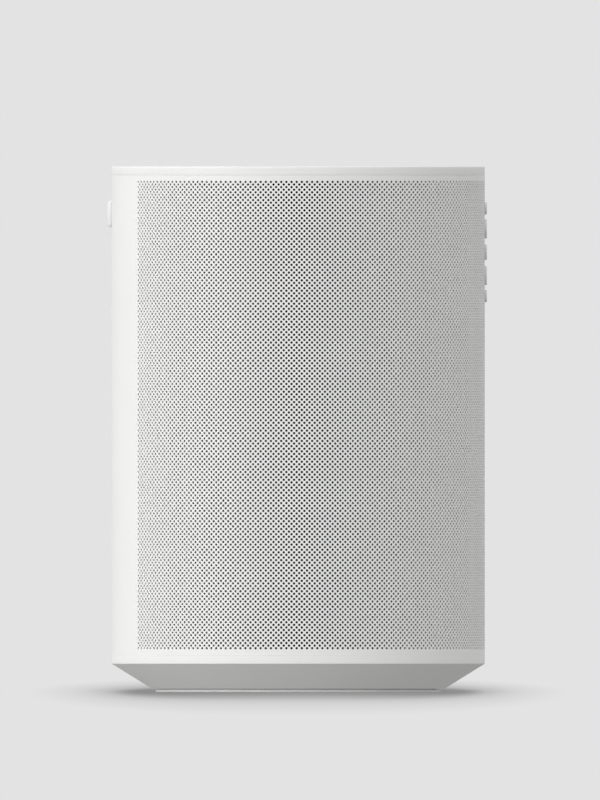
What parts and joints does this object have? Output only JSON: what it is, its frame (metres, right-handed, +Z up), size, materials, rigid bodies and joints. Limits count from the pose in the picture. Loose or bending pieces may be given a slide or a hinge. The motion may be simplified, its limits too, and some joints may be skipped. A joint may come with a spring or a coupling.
{
  "type": "smart speaker",
  "caption": "Upright oval smart speaker with a perforated wrap-round sleeve, plain lid, tapered base, side push buttons and a microphone slide switch.",
  "frame": {"origin": "centre of the foot's underside, on the surface the speaker stands on", "axes": "+Z up, +X towards the button column, -X towards the slide switch"},
  "size_m": [0.122, 0.1148, 0.1691],
  "materials": {
    "white_paint": "satin white powder coat on perforated sheet",
    "white_plastic": "fine matt white moulding",
    "button_plastic": "satin white moulding",
    "foot_rubber": "matt light grey silicone rubber",
    "black_cloth": "black open-weave acoustic cloth",
    "black_plastic": "matt black moulding",
    "black_rubber": "matt black rubber",
    "clear_plastic": "clear light pipe",
    "circuit_board": "green solder mask",
    "pressed_steel": "black painted pressed steel",
    "zinc_steel": "zinc plated steel",
    "ferrite": "dark grey sintered ferrite",
    "paper_cone": "black pulp cone",
    "copper": "enamelled copper winding",
    "spider_cloth": "amber impregnated cloth",
    "silk_dome": "black coated silk",
    "aluminium": "extruded, plain",
    "tin_plate": "tin plated sheet",
    "capacitor_can": "sleeved can",
    "button_silicone": "translucent grey silicone"
  },
  "bodies": {
    "root": {"foot_pad": "foot_rubber", "base_shell": "white_plastic", "grille": "white_paint", "acoustic_liner": "black_cloth", "top_cap": "white_plastic", "mic_board": "circuit_board", "light_pipe": "clear_plastic", "enclosure_tub": "black_plastic", "enclosure_gasket": "black_rubber", "baffle": "black_plastic", "woofer_frame": "pressed_steel", "woofer_surround": "black_rubber", "woofer_spider": "spider_cloth", "woofer_top_plate": "zinc_steel", "woofer_magnet": "ferrite", "woofer_back_plate": "zinc_steel", "tweeter_plate": "black_plastic", "tweeter_magnet": "zinc_steel", "upper_frame": "black_plastic", "main_board": "circuit_board", "heat_sink": "aluminium", "shield_can": "tin_plate", "capacitor_1": "capacitor_can", "capacitor_2": "capacitor_can", "capacitor_3": "capacitor_can", "wifi_antenna": "tin_plate", "button_carrier": "black_plastic", "button_mat": "button_silicone", "button_board": "circuit_board", "mic_switch_body": "black_plastic", "mic_switch_board": "circuit_board", "power_board": "circuit_board", "power_jack": "black_plastic", "power_choke": "copper", "filter_capacitor": "capacitor_can", "base_screw_1": "zinc_steel", "woofer_screw_1": "zinc_steel", "base_screw_2": "zinc_steel", "woofer_screw_2": "zinc_steel", "base_screw_3": "zinc_steel", "woofer_screw_3": "zinc_steel", "base_screw_4": "zinc_steel", "woofer_screw_4": "zinc_steel", "tweeter_screw_1": "zinc_steel", "tweeter_screw_2": "zinc_steel"},
    "button_mute": {"button_mute": "button_plastic"},
    "button_volume_up": {"button_volume_up": "button_plastic"},
    "button_play": {"button_play": "button_plastic"},
    "button_volume_down": {"button_volume_down": "button_plastic"},
    "button_source": {"button_source": "button_plastic"},
    "mic_switch_knob": {"mic_switch_knob": "button_plastic"},
    "woofer_diaphragm": {"woofer_cone": "paper_cone", "woofer_dust_cap": "paper_cone", "woofer_voice_coil": "copper"},
    "tweeter_dome": {"tweeter_dome": "silk_dome"}
  },
  "joints": [
    {"name": "button_mute_press", "type": "slide", "parent": "root", "child": "button_mute", "axis": [-1, 0, 0], "range_m": [0, 0.0004], "stiffness_N_per_m": 300},
    {"name": "button_volume_up_press", "type": "slide", "parent": "root", "child": "button_volume_up", "axis": [-1, 0, 0], "range_m": [0, 0.0004], "stiffness_N_per_m": 300},
    {"name": "button_play_press", "type": "slide", "parent": "root", "child": "button_play", "axis": [-1, 0, 0], "range_m": [0, 0.0004], "stiffness_N_per_m": 300},
    {"name": "button_volume_down_press", "type": "slide", "parent": "root", "child": "button_volume_down", "axis": [-1, 0, 0], "range_m": [0, 0.0004], "stiffness_N_per_m": 300},
    {"name": "button_source_press", "type": "slide", "parent": "root", "child": "button_source", "axis": [-1, 0, 0], "range_m": [0, 0.0004], "stiffness_N_per_m": 300},
    {"name": "mic_switch_slide", "type": "slide", "parent": "root", "child": "mic_switch_knob", "axis": [0, 0, -1], "range_m": [0, 0.0025]},
    {"name": "woofer_stroke", "type": "slide", "parent": "root", "child": "woofer_diaphragm", "axis": [1, 0, 0], "range_m": [-0.004, 0.004], "stiffness_N_per_m": 1500, "deforming": ["woofer_surround", "woofer_spider"]},
    {"name": "tweeter_stroke", "type": "slide", "parent": "root", "child": "tweeter_dome", "axis": [1, 0, 0], "range_m": [-0.0002, 0.0002], "stiffness_N_per_m": 5000}
  ]
}
